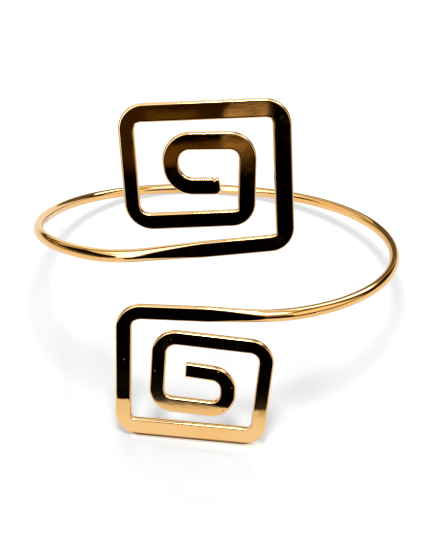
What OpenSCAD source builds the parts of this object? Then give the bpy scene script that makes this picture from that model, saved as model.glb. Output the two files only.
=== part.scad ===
// Upper arm cuff bent from one length of round wire. A springy loop goes once round the arm,
// and each of its ends is flattened into a strip and coiled into a square spiral.
// The front is -Y and up is +Z. The cuff stands as it rests by itself, leaning back on the
// foot of its lower spiral and on the underside of the loop's back.

/* [Wire] */
// Height of the oval wire, along the arm
wire_h = 2.6; // [2.2:0.05:3.2]
// Thickness of the oval wire, outwards from the arm
wire_t = 2.25; // [2:0.05:3]
// Thickness of the wire where it is flattened
strip_t = 1.4; // [1:0.1:1.8]
// Usual width of the flattened strip
strip_w = 3.3; // [3:0.1:3.8]
// Width of the rolled edge on each side of the strip's flat face
edge_roll = 0.3; // [0.2:0.05:0.5]
// Length over which the round wire turns into strip
flat_over = 11.5; // [8:0.5:16]

/* [Loop round the arm] */
// Width inside the loop, where the arm goes
arm_d = 83.2; // [70:0.1:100]
// Climb of the wire over one full turn of the loop
rise = 11.7; // [8:0.1:16]
// Height of the loop's two ends above its back, apart from the climb
bow = 4.5; // [0:0.1:8]
// Angle from the front at which the loop passes into the upper spiral
upper_end = 29; // [24:1:36]
// Angle round from the front at which the loop passes into the lower spiral
lower_end = 326; // [320:1:332]

/* [Upper spiral] */
// Width that the legs across are shares of
upper_w = 30; // [27:0.5:36]
// Height that the legs up and down are shares of
upper_h = 26; // [23:0.5:32]
// Length of the bend between the loop and the spiral
upper_bend = 13; // [11:0.5:16]
// Turn of the spiral's face away from the front
upper_turn = 2.7; // [-4:0.1:8]
// Roll of the whole spiral in its own face
upper_roll = 5.4; // [3:0.1:8]
// Distance by which the flattening starts ahead of the spiral
upper_lead = 0; // [0:0.5:6]
// Slant of the cut at the inner end
upper_cut = 8; // [0:1:20]

/* [Lower spiral] */
// Width that the legs across are shares of
lower_w = 28.5; // [26:0.5:34]
// Height that the legs up and down are shares of
lower_h = 26; // [23:0.5:32]
// Length of the bend between the loop and the spiral
lower_bend = 13; // [11:0.5:16]
// Roll of the whole spiral in its own face
lower_roll = 0; // [-2:0.1:3]
// Distance by which the flattening starts ahead of the spiral
lower_lead = 4; // [0:0.5:8]
// Slant of the cut at the inner end
lower_cut = 2; // [0:1:20]

/* [Bends] */
// Usual radius of a corner, at the middle of the strip
bend_r = 3.2; // [2.6:0.1:3.6]

/* [Hidden] */

// Sides of the ring of points round the wire
RING = 16;
// Angle between stations along the loop
LOOP_STEP = 4.5;
// Steps in one corner, in one bend ahead of a spiral, and in a spiral's first leg
CORNER_STEPS = 7;
LEAD_STEPS = 9;
FIRST_STEPS = 12;

loop_r = (arm_d + wire_t) / 2;

// Slow waves that a hand-bent loop has. Each row is a wave with its number of lobes, its
// swing outwards and upwards as shares of the loop's radius, and the angles of those swings.
LOBES = 0;
OUT = 1;
OUT_AT = 2;
UP = 3;
UP_AT = 4;
loop_waves = [
    [1, 0, 0, 0.038, -129],
    [2, 0.012, -24, 0.027, 45],
    [3, 0.036, 24.5, 0, 0],
    [4, 0.0075, 43.5, 0, 0],
];

// Legs of a spiral from the outside in, each turned a quarter turn left from the one before.
// LENGTH is a share of the spiral's width or height, by turns, LEAN is the error in degrees
// from a square layout, WIDTH is a share of strip_w, and BEND is the radius of the corner
// that follows as a share of bend_r.
LENGTH = 0;
LEAN = 1;
WIDTH = 2;
BEND = 3;
upper_legs = [
    [0.91, 3.6, 0.975, 0.95],
    [0.985, 0.1, 1.07, 1.0],
    [0.955, -0.1, 1.05, 1.0],
    [0.795, 0, 0.9, 1.2],
    [0.715, 0.4, 0.96, 0.9],
    [0.565, -3.6, 1.015, 1.05],
    [0.495, -1.7, 1.015, 1.2],
    [0.33, 4.1, 0.925, 1.28],
    [0.29, -2.0, 0.97, 1.0],
];
lower_legs = [
    [0.865, 2.5, 0.975, 1.2],
    [1.01, 0.2, 1.03, 1.1],
    [1.0, 0, 1.2, 1.0],
    [0.795, -3.2, 0.94, 1.1],
    [0.78, -2.1, 0.93, 1.15],
    [0.59, -1.7, 0.96, 1.05],
    [0.53, -1.8, 1.04, 1.4],
    [0.31, 2.3, 1.0, 1.1],
    [0.31, -3.9, 0.97, 1.0],
];

function mix(a, b, k) = a + (b - a) * k;
function limit(v, low, high) = min(max(v, low), high);
function unit(v) = v / norm(v);
function flip(list) = [for (i = [len(list) - 1:-1:0]) list[i]];
function total(list, i = 0) = i < len(list) ? list[i] + total(list, i + 1) : 0;

// Loop

function loop_point(a) =
    let (u = (a - 180) / 180)
    let (out = 1 + total([for (w = loop_waves) w[OUT] * cos(w[LOBES] * (a - w[OUT_AT]))]))
    let (up = total([for (w = loop_waves) w[UP] * cos(w[LOBES] * (a - w[UP_AT]))]))
    [-loop_r * out * sin(a), -loop_r * out * cos(a), -rise * u / 2 + bow * u * u + loop_r * up];
function loop_heading(a) = unit(loop_point(a + 0.01) - loop_point(a - 0.01));
function loop_face(a) = [-sin(a), -cos(a), 0];

// Spiral, first in its own face with the start at [0, 0]

function leg_length(legs, k, w, h) = legs[k][LENGTH] * (k % 2 == 0 ? w : h);
function leg_heading(legs, k, start) = start + 90 * k + legs[k][LEAN];
function leg_along(legs, k, start) =
    [cos(leg_heading(legs, k, start)), sin(leg_heading(legs, k, start))];

// Sharp corners of the middle line, with the start first and the inner end last
function corners(legs, w, h, start) = [
    for (k = 0, p = [0, 0]; k <= len(legs);
         p = k < len(legs) ? p + leg_length(legs, k, w, h) * leg_along(legs, k, start) : p,
         k = k + 1) p
];

// How much of each leg a corner's arc takes
function corner_turn(legs, k) = 90 + legs[k + 1][LEAN] - legs[k][LEAN];
function corner_cut(legs, k, w, h) =
    let (room = min(leg_length(legs, k, w, h), leg_length(legs, k + 1, w, h)))
    min(bend_r * legs[k][BEND] * tan(corner_turn(legs, k) / 2), room * 0.48);

// Stations of a spiral as [place in the face, strip width, distance from the start]
function corner_stations(legs, k, w, h, start, places) =
    let (cut = corner_cut(legs, k, w, h))
    let (turn = corner_turn(legs, k))
    let (r = cut / tan(turn / 2))
    let (first = leg_heading(legs, k, start) - 90)
    let (middle = places[k + 1] - cut * leg_along(legs, k, start) - r * [cos(first), sin(first)])
    [for (j = [0:CORNER_STEPS])
        let (s = j / CORNER_STEPS)
        [middle + r * [cos(first + turn * s), sin(first + turn * s)],
         strip_w * mix(legs[k][WIDTH], legs[k + 1][WIDTH], s), 1000]];
function spiral_stations(legs, w, h, start) =
    let (places = corners(legs, w, h, start))
    let (last = len(legs) - 1)
    let (straight = leg_length(legs, 0, w, h) - corner_cut(legs, 0, w, h))
    concat(
        [for (j = [0:FIRST_STEPS - 1])
            let (s = straight * j / FIRST_STEPS)
            [s * leg_along(legs, 0, start), strip_w * legs[0][WIDTH], s]],
        [for (k = [0:last - 1]) each corner_stations(legs, k, w, h, start, places)],
        [[places[last + 1], strip_w * legs[last][WIDTH], 1000]]
    );

// Stations of the whole rod as [point, direction the face looks, strip width, flatness]

function flatness(along, lead) = limit((along + lead) / flat_over, 0, 1);

// The spiral stood up at point p. The side vector runs to the viewer's right.
function stood_up(stations, p, side, face, lead) =
    [for (s = stations)
        [p + s[0][0] * side + [0, 0, s[0][1]], face, s[1], flatness(s[2], lead)]];

// The bend that carries the loop's end into a spiral
function bend_end(p, heading, next, size) = p + size * unit(heading + next);
function bend_stations(p, heading, face, q, next, next_face, width, lead) =
    let (reach = norm(q - p))
    let (pull = 0.36 * reach)
    let (a = p + pull * heading)
    let (b = q - pull * next)
    [for (j = [1:LEAD_STEPS - 1])
        let (s = j / LEAD_STEPS)
        let (t = 1 - s)
        [t * t * t * p + 3 * t * t * s * a + 3 * t * s * s * b + s * s * s * q,
         unit(mix(face, next_face, s)), width, flatness(-reach * t, lead)]];

upper_side = [cos(upper_turn), sin(upper_turn), 0];
upper_face = [sin(upper_turn), -cos(upper_turn), 0];
upper_start = upper_roll;
upper_slope = upper_start + upper_legs[0][LEAN];
upper_next = cos(upper_slope) * upper_side + [0, 0, sin(upper_slope)];
upper_from = loop_point(upper_end);
upper_p = bend_end(upper_from, -loop_heading(upper_end), upper_next, upper_bend);

lower_side = [1, 0, 0];
lower_face = [0, -1, 0];
lower_start = 180 + lower_roll;
lower_slope = lower_start + lower_legs[0][LEAN];
lower_next = cos(lower_slope) * lower_side + [0, 0, sin(lower_slope)];
lower_from = loop_point(lower_end);
lower_p = bend_end(lower_from, loop_heading(lower_end), lower_next, lower_bend);

upper_spiral = stood_up(spiral_stations(upper_legs, upper_w, upper_h, upper_start),
                        upper_p, upper_side, upper_face, upper_lead);
upper_lead_in = bend_stations(upper_from, -loop_heading(upper_end), loop_face(upper_end),
                              upper_p, upper_next, upper_face,
                              strip_w * upper_legs[0][WIDTH], upper_lead);
lower_spiral = stood_up(spiral_stations(lower_legs, lower_w, lower_h, lower_start),
                        lower_p, lower_side, lower_face, lower_lead);
lower_lead_in = bend_stations(lower_from, loop_heading(lower_end), loop_face(lower_end),
                              lower_p, lower_next, lower_face,
                              strip_w * lower_legs[0][WIDTH], lower_lead);
loop_steps = ceil((lower_end - upper_end) / LOOP_STEP);
loop = [for (j = [0:loop_steps])
    let (a = mix(upper_end, lower_end, j / loop_steps))
    [loop_point(a), loop_face(a), strip_w, 0]];

rod = concat(flip(upper_spiral), flip(upper_lead_in), loop, lower_lead_in, lower_spiral);
upper_count = len(upper_spiral) + len(upper_lead_in);
lower_count = len(lower_spiral);

// Section of the wire: an oval that is pressed flat front and back as it spreads sideways.
// Points are [across, out of the face], ringed from the foot of one edge.
oval_half = 90 * (1 - 2 / RING);
function section(width, flat) =
    let (w = mix(wire_h, width, flat))
    let (face_w = (width - 2 * edge_roll) * sqrt(flat))
    let (half = min(oval_half, acos(face_w / w)))
    let (h = mix(wire_t, strip_t / sin(half), flat))
    let (n = RING / 2 - 1)
    [for (side = [0, 180], j = [0:n])
        let (a = side - half + 2 * half * j / n)
        [cos(a) * w / 2, sin(a) * h / 2]];

// Ring of points round one station, with the slant of a cut end
function heading_at(i) =
    let (back = i > 0 ? unit(rod[i][0] - rod[i - 1][0]) : [0, 0, 0])
    let (on = i < len(rod) - 1 ? unit(rod[i + 1][0] - rod[i][0]) : [0, 0, 0])
    unit(back + on);
function ring(i, slant = 0) =
    let (along = heading_at(i))
    let (out = unit(rod[i][1] - (rod[i][1] * along) * along))
    let (across = cross(along, out))
    [for (p = section(rod[i][2], rod[i][3]))
        rod[i][0] + p[0] * across + p[1] * out + p[0] * tan(slant) * along];

skin = [for (i = [0:len(rod) - 1])
    each ring(i, i == 0 ? upper_cut : i == len(rod) - 1 ? lower_cut : 0)];

// Rest: the rod is leaned back until the spiral's foot and the loop's back are level

function leaned(p, lean) =
    [p[0], p[1] * cos(lean) + p[2] * sin(lean), -p[1] * sin(lean) + p[2] * cos(lean)];
function lowest(points, lean) = min([for (p = points) -p[1] * sin(lean) + p[2] * cos(lean)]);
foot_skin = [for (i = [(len(rod) - lower_count) * RING:len(skin) - 1]) skin[i]];
loop_skin = [for (i = [upper_count * RING:(len(rod) - lower_count) * RING - 1]) skin[i]];
function rest_lean(low = 0, high = 60, tries = 26) =
    let (half = (low + high) / 2)
    tries == 0 ? half
    : lowest(foot_skin, half) < lowest(loop_skin, half) ? rest_lean(half, high, tries - 1)
    : rest_lean(low, half, tries - 1);

lean = rest_lean();
leaned_skin = [for (p = skin) leaned(p, lean)];
low_corner = [for (k = [0:2]) min([for (p = leaned_skin) p[k]])];
high_corner = [for (k = [0:2]) max([for (p = leaned_skin) p[k]])];
origin = [(low_corner[0] + high_corner[0]) / 2, (low_corner[1] + high_corner[1]) / 2, low_corner[2]];
placed_skin = [for (p = leaned_skin) p - origin];

side_faces = [for (i = [0:len(rod) - 2], j = [0:RING - 1])
    let (k = (j + 1) % RING)
    [i * RING + j, i * RING + k, (i + 1) * RING + k, (i + 1) * RING + j]];
start_face = [for (j = [RING - 1:-1:0]) j];
end_face = [for (j = [0:RING - 1]) (len(rod) - 1) * RING + j];

module wire_cuff() {
    color([0.86, 0.66, 0.36])
    polyhedron(points = placed_skin, faces = concat([start_face], side_faces, [end_face]), convexity = 12);
}

wire_cuff();
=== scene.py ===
# Upper arm cuff in mirror-polished gold plate: one wire, with a square spiral at each end.
# Front is -Y, up is +Z, metres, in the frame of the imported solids.
import math
import bpy
from mathutils import Matrix, Vector


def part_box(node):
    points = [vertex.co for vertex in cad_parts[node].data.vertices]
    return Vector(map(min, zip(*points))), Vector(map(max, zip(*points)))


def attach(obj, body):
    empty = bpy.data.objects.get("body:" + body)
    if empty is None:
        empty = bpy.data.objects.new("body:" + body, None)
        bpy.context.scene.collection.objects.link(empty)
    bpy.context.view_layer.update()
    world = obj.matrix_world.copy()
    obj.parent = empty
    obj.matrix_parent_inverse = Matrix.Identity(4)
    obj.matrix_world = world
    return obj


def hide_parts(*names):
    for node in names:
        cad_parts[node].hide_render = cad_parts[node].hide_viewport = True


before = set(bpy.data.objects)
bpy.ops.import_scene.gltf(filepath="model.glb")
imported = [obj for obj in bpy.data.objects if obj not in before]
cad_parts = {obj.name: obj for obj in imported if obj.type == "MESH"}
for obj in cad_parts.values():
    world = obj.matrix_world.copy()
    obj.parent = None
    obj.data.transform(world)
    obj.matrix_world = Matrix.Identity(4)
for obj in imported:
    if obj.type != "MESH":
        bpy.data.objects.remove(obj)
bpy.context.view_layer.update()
print("frame loaded: %d node" % len(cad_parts))

mm = 0.001
scene = bpy.context.scene

# wire sizes in mm and degrees, the same as in the solid's source, and the finer forms
wire = {
    "height": 2.6,         # oval wire, along the arm
    "thick": 2.25,         # oval wire, outwards from the arm
    "stripThick": 1.4,
    "stripWide": 3.3,
    "edgeRoll": 0.3,       # rolled edge beside the flat face
    "rollStarts": 0.3,     # how flat the wire is where the rolled edge begins
    "roundest": 87,        # half the angle of an edge where the wire is still oval
    "flatOver": 11.5,      # length over which wire turns into strip
    "bendRadius": 3.2,
    "bendRoom": 0.48,      # most of a leg that one bend takes up
    "joinPull": 0.36,      # how straight the loop runs into a spiral
    "nick": 0.13,          # small fold that some bends have at their inside
    "nickWide": 0.28,
    "nickBefore": 0.1,
    "pinchWide": 0.26,     # share of the bend
    "notchWide": 0.22,
    "drawnZone": (0.12, 0.40),  # shares of the width over which a draw-in comes on
    "endRings": [(0.2, 0.0), (0.1, 0.03), (0.04, 0.09), (0.0, 0.2)],  # before the end, draw-in
    "endPoint": 0.15,      # the end's outline isn't read closer to the tip than this
}

# how finely the wire is drawn
fine = {
    "edgePoints": 19,      # mesh points round each edge
    "facePoints": 5,       # mesh points across each face
    "loopSteps": 250,
    "joinSteps": 30,
    "stripStep": 0.42,
    "bendStep": 0.22,
    "bendLeast": 12,
    "endStep": 0.1,
    "endGiven": 3,         # stations at each tip that the end rings stand in for
    "slantSteps": 24,      # stations over which the slant of a cut end fades
}

loop = {
    "armWide": 83.2,
    "rise": 11.7,
    "bow": 4.5,
    "upperEnd": 29.0,
    "lowerEnd": 326.0,
    "waves": [  # lobes, swing out, at, swing up, at
        (1, 0.0, 0.0, 0.038, -129.0),
        (2, 0.012, -24.0, 0.027, 45.0),
        (3, 0.036, 24.5, 0.0, 0.0),
        (4, 0.0075, 43.5, 0.0, 0.0),
    ],
    "lean": 21.5626,       # how far the whole cuff leans back as it rests
}

upperSpiral = {
    "wide": 30.0, "high": 26.0, "bend": 13.0, "turn": 2.7, "start": 5.4, "lead": 0.0, "cut": 8.0,
    "pinches": (0.25, 0.15, 0.12, 0.25, 0.3, 0.03, 0, 0),  # the inside of each bend draws in
    "nicks": (0.6, 1, 1, 0.3, 0.9, 0.2, 0, 0),
    "endRound": 1.25, "notchAt": 0.95, "notch": 0.30,
    "legs": [  # length, lean, width, bend
        (0.91, 3.6, 0.975, 0.95), (0.985, 0.1, 1.07, 1.0), (0.955, -0.1, 1.05, 1.0),
        (0.795, 0.0, 0.9, 1.2), (0.715, 0.4, 0.96, 0.9), (0.565, -3.6, 1.015, 1.05),
        (0.495, -1.7, 1.015, 1.2), (0.33, 4.1, 0.925, 1.28), (0.29, -2.0, 0.97, 1.0),
    ],
}

lowerSpiral = {
    "wide": 28.5, "high": 26.0, "bend": 13.0, "turn": 0.0, "start": 180.0, "lead": 4.0, "cut": 2.0,
    "pinches": (0.12, 0.25, 0.17, 0.05, 0, 0.05, 0, 0),
    "nicks": (0.8, 0.9, 0.5, 0, 0.3, 0.4, 0, 0),
    "endRound": 0.25, "notchAt": 0.5, "notch": 0.0,
    "legs": [
        (0.865, 2.5, 0.975, 1.2), (1.01, 0.2, 1.03, 1.1), (1.0, 0.0, 1.2, 1.0),
        (0.795, -3.2, 0.94, 1.1), (0.78, -2.1, 0.93, 1.15), (0.59, -1.7, 0.96, 1.05),
        (0.53, -1.8, 1.04, 1.4), (0.31, 2.3, 1.0, 1.1), (0.31, -3.9, 0.97, 1.0),
    ],
}


def cosd(a):
    return math.cos(math.radians(a))


def sind(a):
    return math.sin(math.radians(a))


def mix(a, b, k):
    return a + (b - a) * k


def hump(off, wide):
    return math.exp(-(off / wide) ** 2)


def loopPoint(a):
    radius = (loop["armWide"] + wire["thick"]) / 2
    u = (a - 180) / 180
    out, up = 1.0, 0.0
    for lobes, swing, swingAt, lift, liftAt in loop["waves"]:
        out += swing * cosd(lobes * (a - swingAt))
        up += lift * cosd(lobes * (a - liftAt))
    z = -loop["rise"] * u / 2 + loop["bow"] * u * u + radius * up
    return Vector((-radius * out * sind(a), -radius * out * cosd(a), z))


def loopHeading(a):
    little = 0.01
    return (loopPoint(a + little) - loopPoint(a - little)).normalized()


def loopFace(a):
    return Vector((-sind(a), -cosd(a), 0))


def flatness(along, lead):
    return min(max((along + lead) / wire["flatOver"], 0.0), 1.0)


# A flat point is (place in the spiral's face, width, travel, draw-in inside, draw-in outside)
def spiralPoints(s):
    lengths, leans, widths, bends = zip(*s["legs"])
    side = Vector((cosd(s["turn"]), sind(s["turn"]), 0))
    face = Vector((sind(s["turn"]), -cosd(s["turn"]), 0))
    lengths = [share * (s["high"] if k % 2 else s["wide"]) for k, share in enumerate(lengths)]
    headings = [s["start"] + 90 * k + lean for k, lean in enumerate(leans)]
    alongs = [Vector((cosd(heading), sind(heading))) for heading in headings]

    places = [Vector((0, 0))]
    for length, along in zip(lengths, alongs):
        places.append(places[-1] + length * along)
    cuts = []
    for k in range(len(lengths) - 1):
        turn = 90 + leans[k + 1] - leans[k]
        cut = wire["bendRadius"] * bends[k] * math.tan(math.radians(turn / 2))
        cuts.append((min(cut, wire["bendRoom"] * min(lengths[k], lengths[k + 1])), turn))
    points = []
    travel = 0.0
    for k, along in enumerate(alongs):
        last = k == len(cuts)
        back = cuts[k - 1][0] if k else 0.0
        on = 0.0 if last else cuts[k][0]
        straight = lengths[k] - back - on
        steps = max(2, round(straight / fine["endStep" if last else "stripStep"]))
        for j in range(steps + last):
            d = straight * j / steps
            trim = notch = 0.0
            if last:
                left = max(straight - d, wire["endPoint"])
                r = s["endRound"]
                trim = r - math.sqrt(r * r - (r - left) ** 2) if left < r else 0.0
                notch = s["notch"] * hump(left - s["notchAt"], wire["notchWide"])
            points.append((places[k] + (back + d) * along, widths[k], travel + d, notch, trim))
        travel += straight
        if last:
            break
        cut, turn = cuts[k]
        r = cut / math.tan(math.radians(turn / 2))
        first = headings[k] - 90
        middle = places[k + 1] - cut * along - r * Vector((cosd(first), sind(first)))
        arc = math.radians(turn) * r
        steps = max(fine["bendLeast"], round(arc / fine["bendStep"]))
        for j in range(steps):
            a = first + turn * j / steps
            off = (j / steps - 0.5) * arc
            drawn = s["pinches"][k] * hump(off, wire["pinchWide"] * arc)
            drawn += wire["nick"] * s["nicks"][k] * hump(off - wire["nickBefore"], wire["nickWide"])
            points.append((middle + r * Vector((cosd(a), sind(a))),
                           mix(widths[k], widths[k + 1], j / steps), travel + off + arc / 2,
                           drawn, 0.0))
        travel += arc
    return points, side, face, alongs[0]


# A station is (point, face direction, strip width, flatness, draw-in inside, draw-in outside)
def joinStations(p, heading, face, q, onward, onwardFace, width, lead):
    reach = (q - p).length
    a = p + wire["joinPull"] * reach * heading
    b = q - wire["joinPull"] * reach * onward
    made = []
    for j in range(1, fine["joinSteps"]):
        s = j / fine["joinSteps"]
        t = 1 - s
        made.append((t ** 3 * p + 3 * t * t * s * a + 3 * t * s * s * b + s ** 3 * q,
                     face.lerp(onwardFace, s).normalized(), width, flatness(-reach * t, lead),
                     0.0, 0.0))
    return made


def armOfCuff(s, angle, heading):
    flatPoints, side, face, first = spiralPoints(s)
    up = Vector((0, 0, 1))
    onward = first.x * side + first.y * up
    start = loopPoint(angle)
    q = start + s["bend"] * (heading + onward).normalized()
    firstWidth = s["legs"][0][2]
    made = joinStations(start, heading, loopFace(angle), q, onward, face,
                        wire["stripWide"] * firstWidth, s["lead"])
    for place, width, travel, inside, outside in flatPoints:
        made.append((q + place.x * side + place.y * up, face, wire["stripWide"] * width,
                     flatness(travel, s["lead"]), inside, outside))
    return made


def rodStations():
    upper = armOfCuff(upperSpiral, loop["upperEnd"], -loopHeading(loop["upperEnd"]))
    lower = armOfCuff(lowerSpiral, loop["lowerEnd"], loopHeading(loop["lowerEnd"]))
    middle = []
    for j in range(fine["loopSteps"] + 1):
        a = mix(loop["upperEnd"], loop["lowerEnd"], j / fine["loopSteps"])
        middle.append((loopPoint(a), loopFace(a), wire["stripWide"], 0.0, 0.0, 0.0))
    return upper[::-1] + middle + lower


def leaned(p):
    c, s = cosd(loop["lean"]), sind(loop["lean"])
    return Vector((p.x, p.y * c + p.z * s, -p.y * s + p.z * c))


def pathMesh():
    # at each tip a few rings draw in to round the rim
    def tip(inner, end):
        heading = (end[0] - inner[0]).normalized()
        return [((end[0] - heading * before, *end[1:]), drawIn)
                for before, drawIn in wire["endRings"]]

    stations = rodStations()
    given = fine["endGiven"]
    head = tip(stations[given], stations[0])[::-1]
    tail = tip(stations[-given - 1], stations[-1])
    rows = head + [(s, 0.0) for s in stations[given:-given]] + tail
    points = [leaned(r[0][0]) for r in rows]
    mesh = bpy.data.meshes.new("cuffPath")
    mesh.from_pydata([p * mm for p in points], [(i, i + 1) for i in range(len(points) - 1)], [])
    alongs, outs = [], []
    for i, p in enumerate(points):
        back = (p - points[i - 1]).normalized() if i else Vector()
        on = (points[i + 1] - p).normalized() if i < len(points) - 1 else Vector()
        along = (back + on).normalized()
        face = leaned(rows[i][0][1])
        alongs.append(along)
        outs.append((face - face.dot(along) * along).normalized())
    travel = [0.0]
    for i in range(1, len(points)):
        travel.append(travel[-1] + (points[i] - points[i - 1]).length)
    count = len(rows)
    fades = [max(0, 1 - i / fine["slantSteps"]) for i in range(count)]
    slants = [upperSpiral["cut"] * fades[i] if i < count / 2
              else lowerSpiral["cut"] * fades[count - 1 - i] for i in range(count)]
    floats = {
        "width": [r[0][2] * mm for r in rows],
        "flat": [r[0][3] for r in rows],
        "inset": [r[1] * mm for r in rows],
        "slant": [math.tan(math.radians(s)) for s in slants],
        "travel": [t * mm for t in travel],
        # the inner side of the upper spiral is the section's right side, of the lower its left
        "drawRight": [r[0][4 if i < count / 2 else 5] * mm for i, r in enumerate(rows)],
        "drawLeft": [r[0][5 if i < count / 2 else 4] * mm for i, r in enumerate(rows)],
    }
    for name, values in floats.items():
        layer = mesh.attributes.new(name, "FLOAT", "POINT")
        layer.data.foreach_set("value", values)
    for name, values in (("along", alongs), ("out", outs)):
        layer = mesh.attributes.new(name, "FLOAT_VECTOR", "POINT")
        layer.data.foreach_set("vector", [c for v in values for c in v])
    return mesh


# short ways to add the nodes that every tree here uses; values may be numbers or sockets
def nodeMakers(tree):
    def put(value, socket):
        if isinstance(value, (int, float, tuple)):
            socket.default_value = value
        else:
            tree.links.new(value, socket)

    def calc(operation, *values):
        n = tree.nodes.new("ShaderNodeMath")
        n.operation = operation
        for value, socket in zip(values, n.inputs):
            put(value, socket)
        return n.outputs[0]

    def ramp(value, low, high, atLow=0.0, atHigh=1.0):
        n = tree.nodes.new("ShaderNodeMapRange")
        n.interpolation_type = "SMOOTHSTEP"
        for name, given in (("Value", value), ("From Min", low), ("From Max", high),
                            ("To Min", atLow), ("To Max", atHigh)):
            put(given, n.inputs[name])
        return n.outputs[0]

    def blend(factor, a, b, kind="MIX"):
        n = tree.nodes.new("ShaderNodeMix")
        n.data_type = "RGBA"
        n.blend_type = kind
        for value, socket in ((factor, 0), (a, 6), (b, 7)):
            put(value, n.inputs[socket])
        return n.outputs[2]

    def distance(a, b):
        n = tree.nodes.new("ShaderNodeVectorMath")
        n.operation = "DISTANCE"
        put(a, n.inputs[0])
        put(b, n.inputs[1])
        return n.outputs["Value"]
    return calc, ramp, blend, distance


# the tree that sweeps the wire's section along the path
def sweepTree():
    tree = bpy.data.node_groups.new("wireSweep", "GeometryNodeTree")
    face = tree.interface
    face.new_socket("Path", in_out="INPUT", socket_type="NodeSocketGeometry")
    for name, kind in (("Edge Points", "NodeSocketInt"), ("Face Points", "NodeSocketInt"),
                       ("Wire Height", "NodeSocketFloat"), ("Wire Thickness", "NodeSocketFloat"),
                       ("Strip Thickness", "NodeSocketFloat"), ("Edge Roll", "NodeSocketFloat"),
                       ("Finish", "NodeSocketMaterial")):
        face.new_socket(name, in_out="INPUT", socket_type=kind)
    face.new_socket("Skin", in_out="OUTPUT", socket_type="NodeSocketGeometry")
    new, link = tree.nodes.new, tree.links.new
    calc, ramp = nodeMakers(tree)[:2]
    given = new("NodeGroupInput").outputs
    edgePoints, facePoints = given["Edge Points"], given["Face Points"]

    # a closed tube with one ring of points for each station
    size = new("GeometryNodeAttributeDomainSize")
    link(given["Path"], size.inputs[0])
    halfRing = calc("ADD", edgePoints, facePoints)
    tube = new("GeometryNodeMeshCylinder")
    tube.fill_type = "NGON"
    link(calc("MULTIPLY", halfRing, 2), tube.inputs["Vertices"])
    link(calc("SUBTRACT", size.outputs["Point Count"], 1), tube.inputs["Side Segments"])

    index = new("GeometryNodeInputIndex").outputs[0]
    ring = calc("MULTIPLY", halfRing, 2)

    def wholes(value, part):
        nudge = 0.25  # keeps a whole number from being rounded down
        return calc("FLOOR", calc("DIVIDE", calc("ADD", value, nudge), part))
    station = wholes(index, ring)
    j = calc("SUBTRACT", index, calc("MULTIPLY", station, ring))
    side = wholes(j, halfRing)
    sign = calc("SUBTRACT", 1, calc("MULTIPLY", side, 2))
    jj = calc("SUBTRACT", j, calc("MULTIPLY", side, halfRing))
    onEdge = calc("LESS_THAN", jj, calc("SUBTRACT", edgePoints, 0.5))

    def atStation(value, kind):
        sample = new("GeometryNodeSampleIndex")
        sample.data_type = kind
        link(given["Path"], sample.inputs["Geometry"])
        link(value, sample.inputs["Value"])
        link(station, sample.inputs["Index"])
        return sample.outputs[0]

    def sampled(name, kind="FLOAT"):
        attribute = new("GeometryNodeInputNamedAttribute")
        attribute.data_type = kind
        attribute.inputs["Name"].default_value = name
        return atStation(attribute.outputs[0], kind)

    width, flat, inset, slant, travel, drawRight, drawLeft = (
        sampled(name) for name in ("width", "flat", "inset", "slant", "travel",
                                   "drawRight", "drawLeft"))
    along, out = sampled("along", "FLOAT_VECTOR"), sampled("out", "FLOAT_VECTOR")
    place = atStation(new("GeometryNodeInputPosition").outputs[0], "FLOAT_VECTOR")

    def mixed(a, b, k):
        return calc("ADD", calc("MULTIPLY", a, calc("SUBTRACT", 1, k)), calc("MULTIPLY", b, k))

    # an oval that is pressed flat front and back as it spreads sideways
    w = mixed(given["Wire Height"], width, flat)
    faceWide = calc("MULTIPLY", calc("SUBTRACT", width, calc("MULTIPLY", given["Edge Roll"], 2)),
                    calc("SQRT", flat))
    half = calc("MINIMUM", math.radians(wire["roundest"]),
                calc("ARCCOSINE", calc("DIVIDE", faceWide, w)))
    sinHalf, cosHalf = calc("SINE", half), calc("COSINE", half)
    h = mixed(given["Wire Thickness"], calc("DIVIDE", given["Strip Thickness"], sinHalf), flat)
    halfWide, halfHigh = calc("MULTIPLY", w, 0.5), calc("MULTIPLY", h, 0.5)
    borderX, borderY = calc("MULTIPLY", cosHalf, halfWide), calc("MULTIPLY", sinHalf, halfHigh)
    s = calc("SUBTRACT", calc("DIVIDE", calc("MULTIPLY", jj, 2), calc("SUBTRACT", edgePoints, 1)),
             1)
    angle = calc("MULTIPLY", s, half)
    cutX = calc("MULTIPLY", calc("COSINE", angle), halfWide)
    cutY = calc("MULTIPLY", calc("SINE", angle), halfHigh)
    quarter = calc("MULTIPLY", s, math.pi / 2)
    rollX = calc("ADD", borderX, calc("MULTIPLY", calc("COSINE", quarter),
                                      calc("SUBTRACT", halfWide, borderX)))
    rollY = calc("MULTIPLY", calc("SINE", quarter), borderY)
    k = ramp(flat, wire["rollStarts"], 1.0)
    t = calc("DIVIDE", calc("ADD", calc("SUBTRACT", jj, edgePoints), 1),
             calc("ADD", facePoints, 1))
    spread = calc("COSINE", calc("MULTIPLY", t, math.pi))
    faceX = calc("MULTIPLY", borderX, spread)
    x = calc("MULTIPLY", sign, mixed(faceX, mixed(cutX, rollX, k), onEdge))
    y = calc("MULTIPLY", sign, mixed(borderY, mixed(cutY, rollY, k), onEdge))
    twice = calc("MULTIPLY", inset, 2)
    x = calc("MULTIPLY", x, calc("SUBTRACT", 1, calc("DIVIDE", twice, w)))
    y = calc("MULTIPLY", y, calc("SUBTRACT", 1, calc("DIVIDE", twice, h)))

    # the inside of a bend draws in, and so do the corners of a cut end
    def nearEdge(value):
        return ramp(calc("DIVIDE", value, w), *wire["drawnZone"])
    x = calc("SUBTRACT", x, calc("MULTIPLY", drawRight, nearEdge(x)))
    x = calc("ADD", x, calc("MULTIPLY", drawLeft, nearEdge(calc("MULTIPLY", x, -1))))

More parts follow.
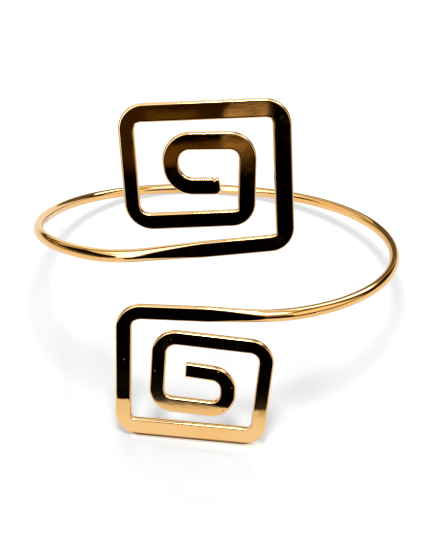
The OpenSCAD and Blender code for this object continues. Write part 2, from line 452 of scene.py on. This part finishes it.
    def vector(operation, a, b=None, scale=None):
        n = new("ShaderNodeVectorMath")
        n.operation = operation
        link(a, n.inputs[0])
        if b is not None:
            link(b, n.inputs[1])
        if scale is not None:
            link(scale, n.inputs["Scale"])
        return n.outputs[0]
    across = vector("CROSS_PRODUCT", along, out)
    spot = place
    for direction, far in ((across, x), (out, y), (along, calc("MULTIPLY", x, slant))):
        spot = vector("ADD", spot, vector("SCALE", direction, scale=far))
    move = new("GeometryNodeSetPosition")
    link(tube.outputs["Mesh"], move.inputs["Geometry"])
    link(spot, move.inputs["Position"])

    # where each point is on the strip, for marks that follow the wire
    stripPlace = new("ShaderNodeCombineXYZ")
    for value, socket in zip((x, y, travel), stripPlace.inputs):
        link(value, socket)
    store = new("GeometryNodeStoreNamedAttribute")
    store.data_type = "FLOAT_VECTOR"
    store.inputs["Name"].default_value = "stripPlace"
    link(move.outputs[0], store.inputs["Geometry"])
    link(stripPlace.outputs[0], store.inputs["Value"])
    smooth = new("GeometryNodeSetShadeSmooth")
    link(store.outputs[0], smooth.inputs["Geometry"])
    realize = new("GeometryNodeRealizeInstances")
    link(smooth.outputs[0], realize.inputs[0])
    finish = new("GeometryNodeSetMaterial")
    link(realize.outputs[0], finish.inputs["Geometry"])
    link(given["Finish"], finish.inputs["Material"])
    link(finish.outputs[0], new("NodeGroupOutput").inputs[0])
    return tree


def sweptCuff(finish):
    maker = bpy.data.objects.new("cuffMaker", pathMesh())
    scene.collection.objects.link(maker)
    tree = sweepTree()
    modifier = maker.modifiers.new("sweep", "NODES")
    modifier.node_group = tree
    values = {
        "Edge Points": fine["edgePoints"], "Face Points": fine["facePoints"],
        "Wire Height": wire["height"] * mm, "Wire Thickness": wire["thick"] * mm,
        "Strip Thickness": wire["stripThick"] * mm, "Edge Roll": wire["edgeRoll"] * mm,
        "Finish": finish,
    }
    for item in tree.interface.items_tree:
        if item.in_out == "INPUT" and item.name in values:
            modifier[item.identifier] = values[item.name]
    bpy.context.view_layer.update()
    shown = maker.evaluated_get(bpy.context.evaluated_depsgraph_get())
    mesh = bpy.data.meshes.new_from_object(shown)
    maker.modifiers.remove(modifier)
    bpy.data.objects.remove(maker)
    cuff = bpy.data.objects.new("goldCuff", mesh)
    scene.collection.objects.link(cuff)
    # stand it where the solid stands
    low = [min(v.co[k] for v in mesh.vertices) for k in range(3)]
    high = [max(v.co[k] for v in mesh.vertices) for k in range(3)]
    solidLow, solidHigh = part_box("wire_cuff")
    shift = Vector(((solidLow[0] + solidHigh[0] - low[0] - high[0]) / 2,
                    (solidLow[1] + solidHigh[1] - low[1] - high[1]) / 2, solidLow[2] - low[2]))
    mesh.transform(Matrix.Translation(shift))
    return cuff


# gold plate, with lengths in metres
goldLook = {
    "colour": (0.985, 0.615, 0.27, 1.0),
    "warmColour": (0.95, 0.53, 0.17, 1.0),
    "warmNoise": (90, 3),            # scale and detail
    "warmRange": (0.42, 0.78, 0.0, 0.6),
    # painted shade: how far the metal's colour is darkened where it is mirrored, and towards what
    "dimmed": 0.93,
    "dimColour": (0.02, 0.02, 0.02, 1.0),
    "roughness": 0.025,
    "smudgeRoughness": 0.13,
    "smudgeNoise": (170, 4),
    "smudgeRange": (0.56, 0.74),
    "markRoughness": 0.12,
    "wornRoughness": 0.045,
    "mottle": 5.0e-6,
    "mottleNoise": (330, 1.5),
    "polishLines": 0.5e-6,
    "polishNoise": (1, 2, (2600, 2600, 70)),    # with the stretch across, through and along
    "wornLines": 2.2e-6,
    "wornNoise": (1, 3, (5200, 5200, 420)),
    "pits": 16e-6,
    "pitCells": (620, 0.80, (0.13, 0.03)),      # scale, share left out, reach of a mark
    "scratches": 5e-6,
    "scratchCells": (760, 0.90, (0.09, 0.03)),
    "scratchStretch": (1.0, 1.0, 0.09),
    "scratchTurn": (0.5, 0.9, 0.3),
    # painted shade: the foot's lowest edge is darkened brown, as it stands in its own shade:
    # heights, tint and how far back it goes
    "footEdge": (0.00112, 0.00082),
    "footTint": (0.20, 0.14, 0.085, 1.0),
    "footBack": -0.03,
    "wornSpots": [  # where the plate is rubbed: place and reach
        ((-0.0020, -0.0415, 0.0087), 0.0085), ((-0.0082, -0.0403, 0.0118), 0.0060),
        ((-0.0145, -0.0399, 0.0128), 0.0040), ((0.0142, -0.0406, 0.0110), 0.0040),
        ((0.0085, -0.0207, 0.0681), 0.0052), ((0.0083, -0.0244, 0.0586), 0.0045),
    ],
    "wornCore": 0.3,                 # share of the reach that is rubbed most
}


def goldPlate():
    material = bpy.data.materials.new("polishedGold")
    material.use_nodes = True
    tree = material.node_tree
    new, link = tree.nodes.new, tree.links.new
    calc, ramp, blend, distance = nodeMakers(tree)
    shader = tree.nodes["Principled BSDF"]
    shader.inputs["Metallic"].default_value = 1.0
    place = new("ShaderNodeTexCoord").outputs["Object"]
    strip = new("ShaderNodeAttribute")
    strip.attribute_name = "stripPlace"

    def mapped(source, scale, turn=(0, 0, 0)):
        mapping = new("ShaderNodeMapping")
        link(source, mapping.inputs["Vector"])
        mapping.inputs["Scale"].default_value = scale
        mapping.inputs["Rotation"].default_value = turn
        return mapping.outputs[0]

    def noise(source, scale, detail, stretch=(1, 1, 1)):
        n = new("ShaderNodeTexNoise")
        link(mapped(source, stretch), n.inputs["Vector"])
        n.inputs["Scale"].default_value = scale
        n.inputs["Detail"].default_value = detail
        return n.outputs[0]

    # a mark in the middle of a few cells
    def marks(source, scale, leftOut, reach):
        cells = new("ShaderNodeTexVoronoi")
        link(source, cells.inputs["Vector"])
        cells.inputs["Scale"].default_value = scale
        parts = new("ShaderNodeSeparateColor")
        link(cells.outputs["Color"], parts.inputs[0])
        return calc("MULTIPLY", ramp(cells.outputs["Distance"], *reach),
                    calc("GREATER_THAN", parts.outputs[0], leftOut))

    def bump(height, rise, under=None):
        n = new("ShaderNodeBump")
        n.inputs["Distance"].default_value = rise
        link(height, n.inputs["Height"])
        if under is not None:
            link(under, n.inputs["Normal"])
        return n.outputs[0]

    # thinner plate shows a little redder
    warm = blend(ramp(noise(place, *goldLook["warmNoise"]), *goldLook["warmRange"]),
                 goldLook["colour"], goldLook["warmColour"])
    split = new("ShaderNodeSeparateXYZ")
    link(place, split.inputs[0])
    # painted shade: along the foot's lowest edge the base colour is darkened brown
    footShadeMask = calc("MULTIPLY", ramp(split.outputs[2], *goldLook["footEdge"]),
                  calc("LESS_THAN", split.outputs[1], goldLook["footBack"]))
    shaded = blend(footShadeMask, warm, goldLook["footTint"], "MULTIPLY")
    # painted shade: mirrored in the paper or in itself, the metal's colour is darkened
    ray = new("ShaderNodeLightPath").outputs
    mirrored = calc("MULTIPLY", calc("MAXIMUM", ray["Is Glossy Ray"], ray["Is Diffuse Ray"]),
                    goldLook["dimmed"])
    link(blend(mirrored, shaded, goldLook["dimColour"]), shader.inputs["Base Color"])

    # pits, few and small, and hairline scratches
    pit = marks(place, *goldLook["pitCells"])
    stretched = mapped(place, goldLook["scratchStretch"], goldLook["scratchTurn"])
    hair = marks(stretched, *goldLook["scratchCells"])
    worn = None
    for spot, reach in goldLook["wornSpots"]:
        one = ramp(distance(place, spot), reach, reach * goldLook["wornCore"])
        worn = one if worn is None else calc("MAXIMUM", worn, one)

    smudge = ramp(noise(place, *goldLook["smudgeNoise"]), *goldLook["smudgeRange"])
    rough = calc("ADD", goldLook["roughness"],
                 calc("MULTIPLY", smudge, goldLook["smudgeRoughness"] - goldLook["roughness"]))
    rough = calc("ADD", rough, calc("MULTIPLY", calc("MAXIMUM", pit, hair),
                                    goldLook["markRoughness"]))
    rough = calc("ADD", rough, calc("MULTIPLY", worn, goldLook["wornRoughness"]))
    link(rough, shader.inputs["Roughness"])

    onStrip = strip.outputs["Vector"]
    normal = bump(noise(place, *goldLook["mottleNoise"]), goldLook["mottle"])
    normal = bump(noise(onStrip, *goldLook["polishNoise"]), goldLook["polishLines"], normal)
    streaks = calc("MULTIPLY", noise(onStrip, *goldLook["wornNoise"]), worn)
    normal = bump(streaks, goldLook["wornLines"], normal)
    normal = bump(pit, goldLook["pits"], normal)
    normal = bump(hair, goldLook["scratches"], normal)
    link(normal, shader.inputs["Normal"])
    return material


cuff = sweptCuff(goldPlate())
print("cuff swept: %d faces" % len(cuff.data.polygons))
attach(cuff, "root")
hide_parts("wire_cuff")

# floor, light and what the metal mirrors
studio = {
    "floorHalf": 1.5,
    "floorTone": 0.86,
    "floorColour": (0.857, 0.862, 0.866, 1.0),
    "floorRoughness": 0.22,
    "floorIor": 1.8,
    "floorGlow": 0.352,
    # painted shade on the paper as the metal sees it: how it fades with distance, and dips round
    # the foot
    "seenStretch": 0.62,
    "seenFade": (0.085, 0.38, 0.95, 0.08),
    "seenAt": (0.0, -0.045, 0.0),
    "seenDip": (0.015, 0.060, 1.0, 0.90),
    # where the foot meets the paper: both ends, the painted shade and reflection round it, the
    # painted shade of it that the metal sees and the painted light that lifts the paper right
    # beside it
    "foot": ((-0.0125, -0.0441), (0.0135, -0.0441)),
    "footShades": [(0.0013, 0.0006, (0.90, 0.82, 0.73, 1)), (0.009, 0.001, (0.975, 0.965, 0.95, 1))],
    "footSeen": (0.0026, 0.0007, (0.20, 0.13, 0.06, 1)),
    "footLift": (0.0005, 0.0014, 0.43, 0.0),
    "lifts": [  # painted light that cancels the spirals' shade: place, near, far, tone when near and when far
        ((0.0, -0.017, 0.0), 0.013, 0.026, 0.25, 0.0),
        ((0.030, -0.006, 0.0), 0.004, 0.024, 0.08, 0.0),
        ((-0.029, -0.004, 0.0), 0.003, 0.018, 0.04, 0.0),
        ((0.017, -0.0435, 0.0), 0.001, 0.007, 0.09, 0.0),
    ],
    "glossAt": (0.0, -0.070, 0.0),
    "glossReach": (0.045, 0.085),
    "gloss": 0.5,
    "glossTone": 0.16,     # painted light: glow that makes up for gloss that isn't there
    "sky": 0.30,
    "lampAt": (0.0, -0.050, 0.229),
    "lampWide": 0.064,
    "lampPower": 0.245,
    "lampTone": 0.40,      # what the lamp adds to the paper right below it
    "roomTone": (0.62, 0.61, 0.59, 1),
    "warmth": [(0.22, 0.3), (0.85, 1.2)],  # how fast green and blue fall in dim tones
    # what the polished metal sees round it: azimuth from the front to the right, elevation,
    # slope of elevation over azimuth, softness of both edges, tone
    "cards": [
        (-100, 78, 44, 100, 0, 24, 12, (2.3, 2.3, 2.8)),
        (78, 140, 44, 100, 0, 24, 16, (0.60, 0.57, 0.50)),
        (-150, -106, 22, 70, 0, 14, 14, (0.46, 0.43, 0.36)),
        (-215, -145, 36, 66, 0, 20, 8, (0.93, 0.95, 0.98)),
        (145, 215, 36, 66, 0, 20, 8, (0.93, 0.95, 0.98)),
        (-215, -147, -20, 26, 0, 10, 14, (1.5, 1.45, 1.3)),
        (150, 175, -8, 32, 0, 12, 12, (0.42, 0.38, 0.32)),
        (-112, -48, -8, 46, 0, 14, 10, (0.93, 0.84, 0.62)),
        (-46, -12, 6, 66, 0, 10, 12, (2.7, 2.8, 3.6)),
        (24, 72, 46, 75, 0, 14, 10, (2.9, 3.0, 3.9)),
        (44, 97, 3, 38, 0, 9, 7, (1.15, 1.02, 0.70)),
        (58, 116, 35, 50, 0, 10, 6, (0.25, 0.20, 0.11)),
        (97, 128, 12, 50, 0, 7, 7, (0.16, 0.12, 0.06)),
        (127, 154, 21, 54, 0, 6, 5, (3.0, 3.1, 4.2)),
        (-145, -110, -10, 12, 0, 12, 8, (0.20, 0.16, 0.10)),
        (-10, 16, 15, 27, 0, 6, 5, (0.08, 0.05, 0.02)),
        (8, 46, 16, 34, 0, 8, 12, (0.30, 0.24, 0.14)),
        (102, 150, -14, 17, 0, 8, 6, (0.015, 0.010, 0.006)),
        (44, 96, -16, 0, 0, 8, 5, (0.12, 0.08, 0.03)),
        (4, 49, -30, 17, 0, 5, 7, (0.02, 0.012, 0.006)),
        (-14, 9, -30, 15, 0, 3, 2, (0.0008, 0.0006, 0.0006)),
        (-7, 1.2, 10.9, 12.25, 0.06, 1.5, 0.6, (0.026, 0.013, 0.004)),
        (-5.0, -1.6, 10.7, 11.75, 0.05, 1.4, 0.4, (0.085, 0.046, 0.008)),
        (-9.5, -4.9, 7.9, 13.5, 0, 1.4, 1.4, (0.032, 0.016, 0.005)),
        (-5.2, 2.3, 8.45, 9.75, 0.12, 1.8, 0.7, (0.090, 0.046, 0.007)),
        (0.2, 2.3, 9.15, 10.1, 0.12, 1.1, 0.7, (0.28, 0.175, 0.060)),
        (0.45, 9, 11.2, 12.98, 0.20, 0.8, 0.3, (0.46, 0.33, 0.16)),
        (-4.0, 0.4, -6.4, -3.0, 0, 1.2, 1.2, (0.022, 0.012, 0.003)),
        (3.28, 12, 2, 16, 0, 0.14, 1.5, (0.0008, 0.0006, 0.0006)),
    ],
    # dark things that only the metal sees: the table's end in front, and two boards round it
    "darkPaper": [
        (-0.038, -0.100, 0.0003), (0.020, -0.100, 0.0003), (0.041, -0.116, 0.0003),
        (0.072, -0.091, 0.0003), (0.083, -0.077, 0.0003), (0.127, -0.069, 0.0003),
        (0.230, -0.015, 0.0003), (1.200, 0.150, 0.0003), (1.200, -1.400, 0.0003),
        (-0.900, -1.400, 0.0003), (-0.125, -0.268, 0.0003), (-0.063, -0.166, 0.0003),
    ],
    "backBoard": [
        (-0.075, 0.150, 0), (0.100, 0.150, 0), (0.100, 0.150, 0.070), (-0.075, 0.150, 0.070),
    ],
    "leftBoard": [
        (-0.100, -0.160, 0.038), (-0.100, 0.000, 0.038),
        (-0.100, 0.000, 0.094), (-0.100, -0.160, 0.092),
    ],
    "darkTones": {
        "darkPaper": (0.0008, 0.0006, 0.0006), "backBoard": (0.13, 0.10, 0.06),
        "leftBoard": (0.015, 0.010, 0.004),
    },
}


def grey(tone):
    return (tone, tone, tone, 1)


def studioWorld():
    world = bpy.data.worlds.new("softStudio")
    world.use_nodes = True
    tree = world.node_tree
    new, link = tree.nodes.new, tree.links.new
    calc, ramp, blend = nodeMakers(tree)[:3]
    split = new("ShaderNodeSeparateXYZ")
    link(new("ShaderNodeTexCoord").outputs["Generated"], split.inputs[0])
    toRight, toBack, up = split.outputs
    degrees = 180 / math.pi
    azimuth = calc("MULTIPLY", calc("ARCTAN2", toRight, calc("MULTIPLY", toBack, -1)), degrees)
    elevation = calc("MULTIPLY", calc("ARCSINE", up), degrees)

    def band(value, low, high, soft):
        away = calc("ABSOLUTE", calc("SUBTRACT", value, (low + high) / 2))
        reach = (high - low) / 2
        return ramp(away, reach + soft / 2, reach - soft / 2)

    tone = studio["roomTone"]
    for left, right, low, high, slope, softAcross, softUp, colour in studio["cards"]:
        fromMiddle = calc("SUBTRACT", azimuth, (left + right) / 2)
        height = calc("SUBTRACT", elevation, calc("MULTIPLY", fromMiddle, slope))
        mask = calc("MULTIPLY", band(azimuth, left, right, softAcross),
                    band(height, low, high, softUp))
        tone = blend(mask, tone, (*colour, 1))
    # what is dim is warm as well
    parts = new("ShaderNodeSeparateColor")
    link(tone, parts.inputs[0])
    red = parts.outputs[0]
    dim = calc("MINIMUM", red, 1)
    above = calc("MAXIMUM", calc("SUBTRACT", red, 1), 0)
    warm = new("ShaderNodeCombineColor")
    link(red, warm.inputs[0])
    for k, (power, spare) in enumerate(studio["warmth"]):
        cap = calc("ADD", calc("MULTIPLY", red, calc("POWER", dim, power)),
                   calc("MULTIPLY", above, spare))
        link(calc("MINIMUM", parts.outputs[k + 1], cap), warm.inputs[k + 1])
    # the metal sees the cards, the paper a plain sky, and the camera white
    ray = new("ShaderNodeLightPath").outputs
    seen = blend(ray["Is Glossy Ray"], grey(studio["sky"]), warm.outputs[0])
    link(blend(ray["Is Camera Ray"], seen, grey(1)), tree.nodes["Background"].inputs[0])
    scene.world = world


def paleFloor():
    mesh = bpy.data.meshes.new("floor")
    mesh.from_pydata([(x * studio["floorHalf"], y * studio["floorHalf"], 0)
                      for x, y in ((-1, -1), (1, -1), (1, 1), (-1, 1))], [], [(0, 1, 2, 3)])
    floor = bpy.data.objects.new("floor", mesh)
    scene.collection.objects.link(floor)
    paper = bpy.data.materials.new("palePaper")
    paper.use_nodes = True
    tree = paper.node_tree
    new, link = tree.nodes.new, tree.links.new
    calc, ramp, blend, distance = nodeMakers(tree)
    shader = tree.nodes["Principled BSDF"]
    shader.inputs["Roughness"].default_value = studio["floorRoughness"]
    shader.inputs["IOR"].default_value = studio["floorIor"]
    place = new("ShaderNodeTexCoord").outputs["Object"]

    # painted reflection and shade: close to the foot the paper is tinted darker and warmer, for the
    # metal's warm tone mirrored there
    (left, front), (right, _) = studio["foot"]
    split = new("ShaderNodeSeparateXYZ")
    link(place, split.inputs[0])
    fromMiddle = calc("ABSOLUTE", calc("SUBTRACT", split.outputs[0], (left + right) / 2))
    beyond = calc("MAXIMUM", calc("SUBTRACT", fromMiddle, (right - left) / 2), 0)
    ahead = calc("SUBTRACT", split.outputs[1], front)
    toFoot = calc("SQRT", calc("ADD", calc("MULTIPLY", beyond, beyond),
                               calc("MULTIPLY", ahead, ahead)))

    def tinted(colour, far, near, tint):
        return blend(ramp(toFoot, far, near), colour, tint, "MULTIPLY")
    base, glowColour = studio["floorColour"], grey(1.0)
    for ring in studio["footShades"]:
        base, glowColour = tinted(base, *ring), tinted(glowColour, *ring)
    link(base, shader.inputs["Base Color"])
    link(glowColour, shader.inputs["Emission Color"])

    # painted light: away from the lamp its light falls off, and the paper's glow makes up for it
    lampX, lampY, lampHigh = studio["lampAt"]
    square = calc("POWER", distance(place, (lampX, lampY, 0.0)), 2)
    lampSquare = lampHigh ** 2
    lit = calc("POWER", calc("DIVIDE", lampSquare, calc("ADD", square, lampSquare)), 2)
    missing = calc("MULTIPLY", calc("SUBTRACT", 1, lit), studio["lampTone"])
    # the paper's gloss shows only near the cuff's foot
    gloss = ramp(distance(place, studio["glossAt"]), *studio["glossReach"], studio["gloss"], 0.0)
    link(gloss, shader.inputs["Specular IOR Level"])
    # painted light: where the gloss is missing, the paper glows instead
    plainPart = calc("MULTIPLY", calc("SUBTRACT", studio["gloss"], gloss), studio["glossTone"])
    glow = calc("ADD", calc("ADD", missing, plainPart), studio["floorGlow"])
    # painted light: beside and behind the foot the paper glows brighter, lifting it out of the
    # spirals' shade
    for spot, *reach in studio["lifts"]:
        glow = calc("ADD", glow, ramp(distance(place, spot), *reach))
    glow = calc("ADD", glow, ramp(toFoot, *studio["footLift"]))
    link(glow, shader.inputs["Emission Strength"])

    # painted shade: seen in the metal, the paper is matt and darkens with distance
    squeeze = new("ShaderNodeMapping")
    link(place, squeeze.inputs["Vector"])
    squeeze.inputs["Scale"].default_value = (1, studio["seenStretch"], 1)
    fade = ramp(distance(squeeze.outputs[0], (0.0, 0.0, 0.0)), *studio["seenFade"])
    dip = ramp(distance(place, studio["seenAt"]), *studio["seenDip"])
    dimness = calc("MULTIPLY", fade, dip)
    seen = new("ShaderNodeCombineColor")
    link(dimness, seen.inputs[0])
    for k, (power, _) in enumerate(studio["warmth"]):
        link(calc("POWER", dimness, 1 + power), seen.inputs[k + 1])
    # painted shade: right at the foot the mirrored paper is darkened brown
    seenColour = tinted(seen.outputs[0], *studio["footSeen"])
    matt = new("ShaderNodeBsdfDiffuse")
    link(blend(1.0, seenColour, grey(studio["floorTone"]), "MULTIPLY"), matt.inputs[0])
    farGlow = new("ShaderNodeEmission")
    link(seenColour, farGlow.inputs[0])
    link(glow, farGlow.inputs[1])
    plain = new("ShaderNodeAddShader")
    link(matt.outputs[0], plain.inputs[0])
    link(farGlow.outputs[0], plain.inputs[1])
    both = new("ShaderNodeMixShader")
    link(new("ShaderNodeLightPath").outputs["Is Glossy Ray"], both.inputs[0])
    link(shader.outputs[0], both.inputs[1])
    link(plain.outputs[0], both.inputs[2])
    link(both.outputs[0], tree.nodes["Material Output"].inputs[0])
    mesh.materials.append(paper)


def darkBoard(name):
    mesh = bpy.data.meshes.new(name)
    corners = studio[name]
    mesh.from_pydata(corners, [], [tuple(range(len(corners)))])
    board = bpy.data.objects.new(name, mesh)
    scene.collection.objects.link(board)
    material = bpy.data.materials.new(name)
    material.use_nodes = True
    shader = material.node_tree.nodes["Principled BSDF"]
    shader.inputs["Base Color"].default_value = grey(0)
    shader.inputs["Specular IOR Level"].default_value = 0
    shader.inputs["Roughness"].default_value = 1
    shader.inputs["Emission Color"].default_value = (*studio["darkTones"][name], 1)
    shader.inputs["Emission Strength"].default_value = 1
    mesh.materials.append(material)
    board.visible_camera = False
    board.visible_diffuse = False
    board.visible_shadow = False
    board.visible_transmission = False


def overheadLamp():
    lamp = bpy.data.lights.new("overhead", "AREA")
    lamp.shape = "DISK"
    lamp.size = studio["lampWide"]
    lamp.energy = studio["lampPower"]
    lampObject = bpy.data.objects.new("overhead", lamp)
    lampObject.location = studio["lampAt"]
    scene.collection.objects.link(lampObject)


studioWorld()
paleFloor()
for name in studio["darkTones"]:
    darkBoard(name)
overheadLamp()

view = {
    "place": (0.01780, -0.15575, 0.14827),
    "turn": (48.5155, 0.0752, 6.5764),
    "lens": 57.534,
    "sensor": 36,
    "nearest": 0.01,
}
camera = bpy.data.cameras.new("camera")
camera.lens = view["lens"]
camera.sensor_width = view["sensor"]
camera.clip_start = view["nearest"]
cameraObject = bpy.data.objects.new("camera", camera)
cameraObject.location = view["place"]
cameraObject.rotation_euler = [math.radians(a) for a in view["turn"]]
scene.collection.objects.link(cameraObject)
scene.camera = cameraObject
scene.view_settings.view_transform = "Standard"
print("studio ready")
